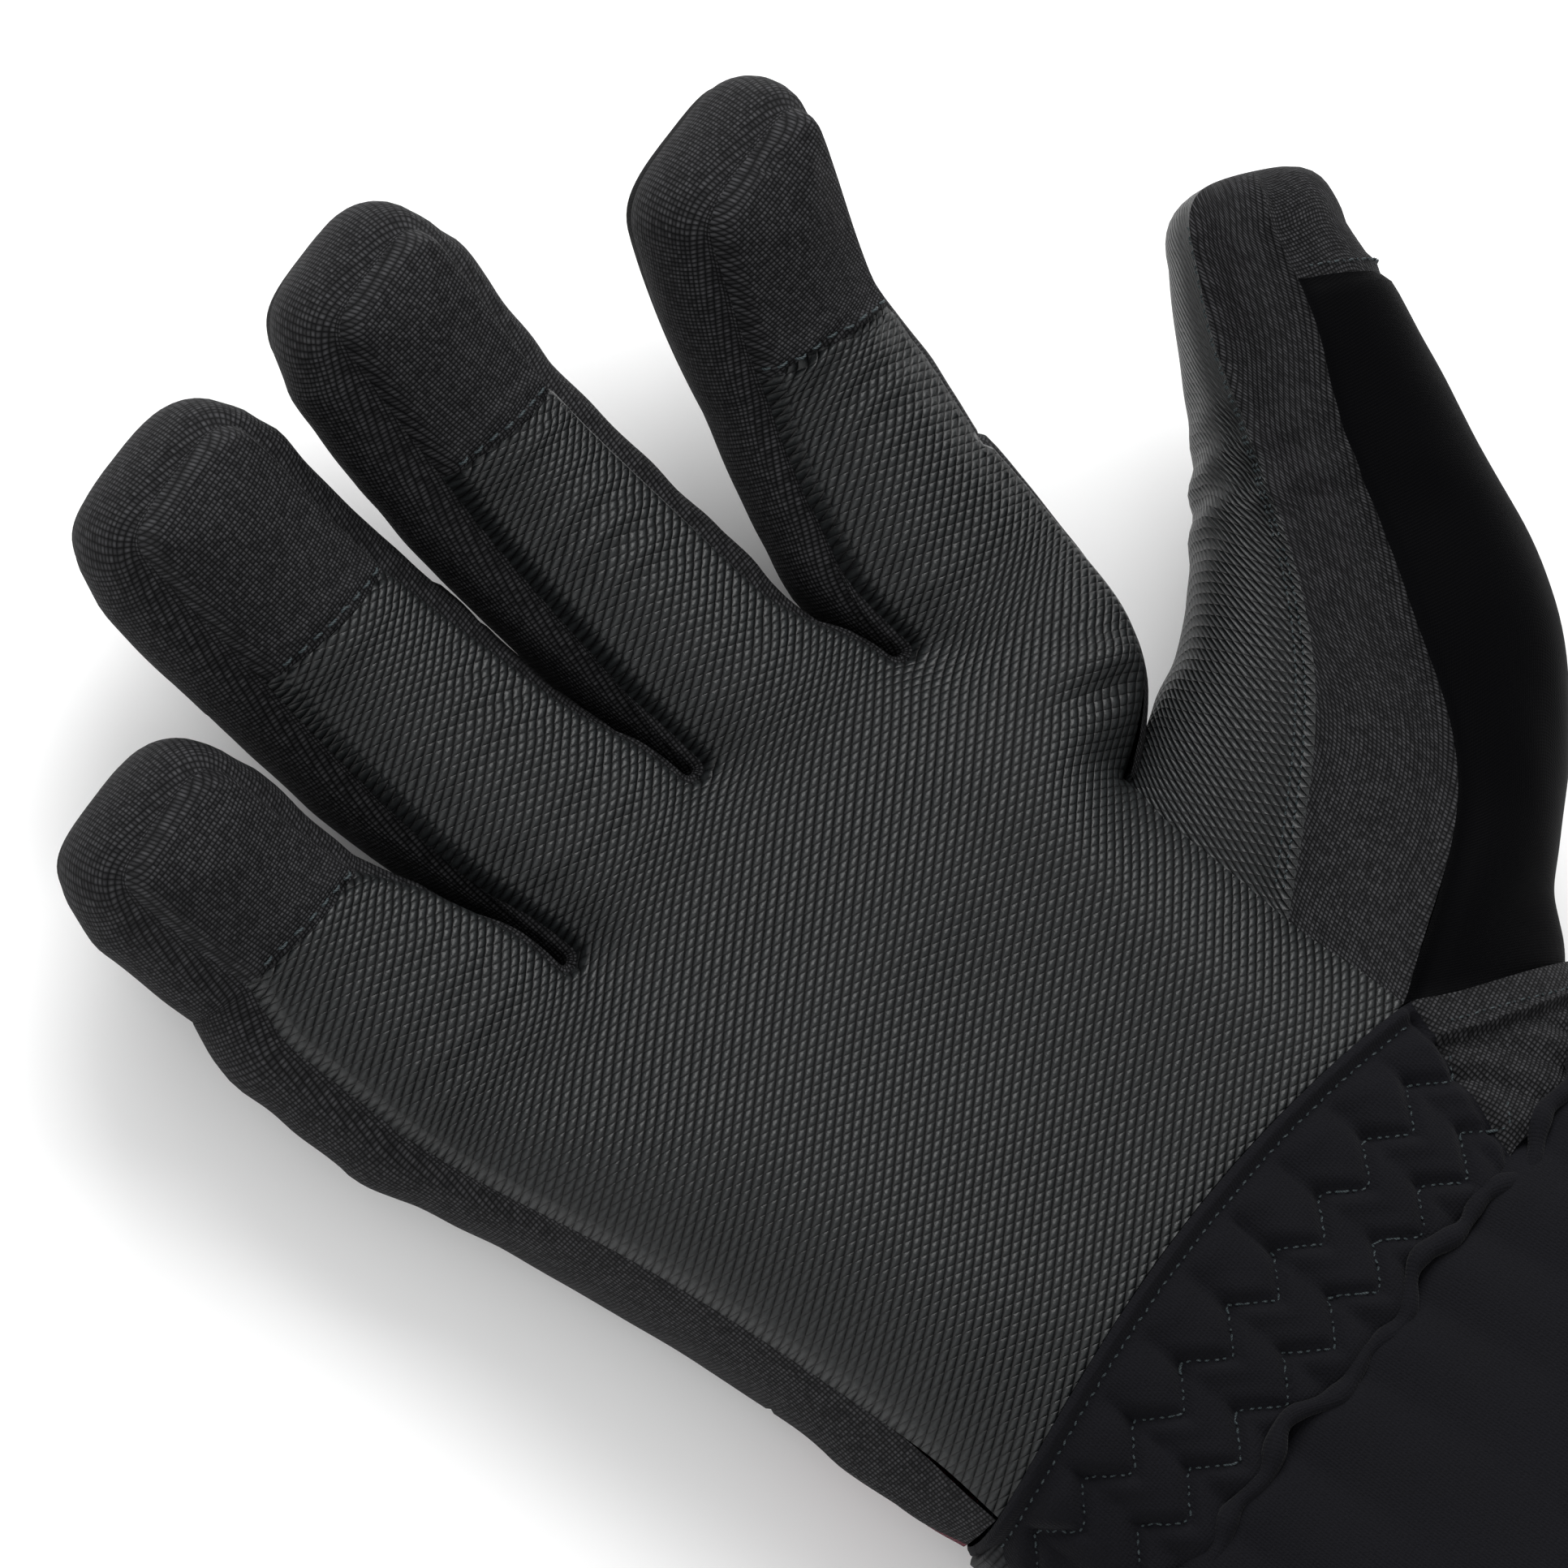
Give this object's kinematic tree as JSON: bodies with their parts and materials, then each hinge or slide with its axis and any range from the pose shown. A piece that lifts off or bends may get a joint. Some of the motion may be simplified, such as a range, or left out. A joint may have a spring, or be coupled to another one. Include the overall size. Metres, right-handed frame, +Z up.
{
  "type": "ski glove",
  "caption": "Insulated right-hand five-finger ski glove with embossed grip palm, gathered elastic wrist and flared cuff, fingers, thumb and wrist that bend.",
  "frame": {"origin": "on the flattened back of the hand, under the middle of the palm, in the plane the glove lies on", "axes": "+X to the thumb side, +Y from the wrist to the fingertips, +Z up out of the palm"},
  "size_m": [0.1746, 0.2622, 0.0743],
  "materials": {
    "grip_pu": "embossed diamond polyurethane, satin",
    "oxford_fabric": "plain-weave polyester, matt",
    "softshell_fabric": "smooth stretch softshell, matt",
    "brushed_softshell": "brushed stretch softshell, matt",
    "accent_oxford": "burgundy plain-weave polyester, matt",
    "webbing": "ribbed webbing",
    "elastic": "woven elastic",
    "insulation": "polyester wadding",
    "lining": "brushed tricot"
  },
  "bodies": {
    "hand": {"accent_panel": "accent_oxford", "back_panel": "softshell_fabric", "hand_insulation": "insulation", "hand_lining": "lining", "outer_side_strip": "oxford_fabric", "palm_panel": "grip_pu", "web_strip": "oxford_fabric", "wrist_elastic": "elastic", "wrist_gusset": "oxford_fabric", "wrist_panel": "brushed_softshell", "wrist_strap": "webbing"},
    "cuff": {"cuff_back_panel": "brushed_softshell", "cuff_lining": "lining", "cuff_palm_panel": "brushed_softshell", "cuff_piping": "softshell_fabric"},
    "index_finger": {"index_back": "softshell_fabric", "index_fourchette_radial": "oxford_fabric", "index_fourchette_ulnar": "oxford_fabric", "index_liner": "lining", "index_palm": "grip_pu"},
    "index_fingertip": {"index_tip_cap": "oxford_fabric", "index_tip_grip": "grip_pu", "index_tip_liner": "lining", "index_tip_sleeve": "softshell_fabric"},
    "middle_finger": {"middle_back": "softshell_fabric", "middle_fourchette_radial": "oxford_fabric", "middle_fourchette_ulnar": "oxford_fabric", "middle_liner": "lining", "middle_palm": "grip_pu"},
    "middle_fingertip": {"middle_tip_cap": "oxford_fabric", "middle_tip_grip": "grip_pu", "middle_tip_liner": "lining", "middle_tip_sleeve": "softshell_fabric"},
    "ring_finger": {"ring_back": "softshell_fabric", "ring_fourchette_radial": "oxford_fabric", "ring_fourchette_ulnar": "oxford_fabric", "ring_liner": "lining", "ring_palm": "grip_pu"},
    "ring_fingertip": {"ring_tip_cap": "oxford_fabric", "ring_tip_grip": "grip_pu", "ring_tip_liner": "lining", "ring_tip_sleeve": "softshell_fabric"},
    "little_finger": {"little_back": "softshell_fabric", "little_fourchette_radial": "oxford_fabric", "little_fourchette_ulnar": "oxford_fabric", "little_liner": "lining", "little_palm": "grip_pu"},
    "little_fingertip": {"little_tip_cap": "oxford_fabric", "little_tip_grip": "grip_pu", "little_tip_liner": "lining", "little_tip_sleeve": "softshell_fabric"},
    "thumb": {"thumb_back": "softshell_fabric", "thumb_fourchette_lower": "oxford_fabric", "thumb_fourchette_upper": "oxford_fabric", "thumb_liner": "lining", "thumb_palm": "grip_pu"},
    "thumb_tip": {"thumb_tip_cap": "oxford_fabric", "thumb_tip_grip": "grip_pu", "thumb_tip_liner": "lining", "thumb_tip_sleeve": "softshell_fabric"}
  },
  "joints": [
    {"name": "wrist", "type": "hinge", "parent": "hand", "child": "cuff", "pos_m": [0.0105, -0.058, 0.0222], "axis": [1, 0, 0], "range_deg": [-20, 20]},
    {"name": "index_knuckle", "type": "hinge", "parent": "hand", "child": "index_finger", "pos_m": [0.0493, 0.04131, 0.02094], "axis": [1, 0, 0], "range_deg": [-10, 45]},
    {"name": "index_middle", "type": "hinge", "parent": "index_finger", "child": "index_fingertip", "pos_m": [0.05499, 0.06223, 0.02476], "axis": [1, 0, 0], "range_deg": [-15, 55]},
    {"name": "middle_knuckle", "type": "hinge", "parent": "hand", "child": "middle_finger", "pos_m": [0.0185, 0.05144, 0.02096], "axis": [1, 0, 0], "range_deg": [-10, 45]},
    {"name": "middle_middle", "type": "hinge", "parent": "middle_finger", "child": "middle_fingertip", "pos_m": [0.01915, 0.07619, 0.02444], "axis": [1, 0, 0], "range_deg": [-15, 55]},
    {"name": "ring_knuckle", "type": "hinge", "parent": "hand", "child": "ring_finger", "pos_m": [-0.011, 0.05308, 0.02098], "axis": [1, 0, 0], "range_deg": [-10, 45]},
    {"name": "ring_middle", "type": "hinge", "parent": "ring_finger", "child": "ring_fingertip", "pos_m": [-0.01257, 0.0754, 0.02333], "axis": [1, 0, 0], "range_deg": [-15, 55]},
    {"name": "little_knuckle", "type": "hinge", "parent": "hand", "child": "little_finger", "pos_m": [-0.04, 0.04844, 0.02096], "axis": [1, 0, 0], "range_deg": [-10, 45]},
    {"name": "little_middle", "type": "hinge", "parent": "little_finger", "child": "little_fingertip", "pos_m": [-0.04259, 0.06558, 0.0234], "axis": [1, 0, 0], "range_deg": [-15, 55]},
    {"name": "thumb_base", "type": "hinge", "parent": "hand", "child": "thumb", "pos_m": [0.042, -0.014, 0.026], "axis": [0, 1, 0], "range_deg": [-26, 10]},
    {"name": "thumb_tip", "type": "hinge", "parent": "thumb", "child": "thumb_tip", "pos_m": [0.093, 0.0165, 0.03], "axis": [0, 0, 1], "range_deg": [-10, 40]}
  ]
}
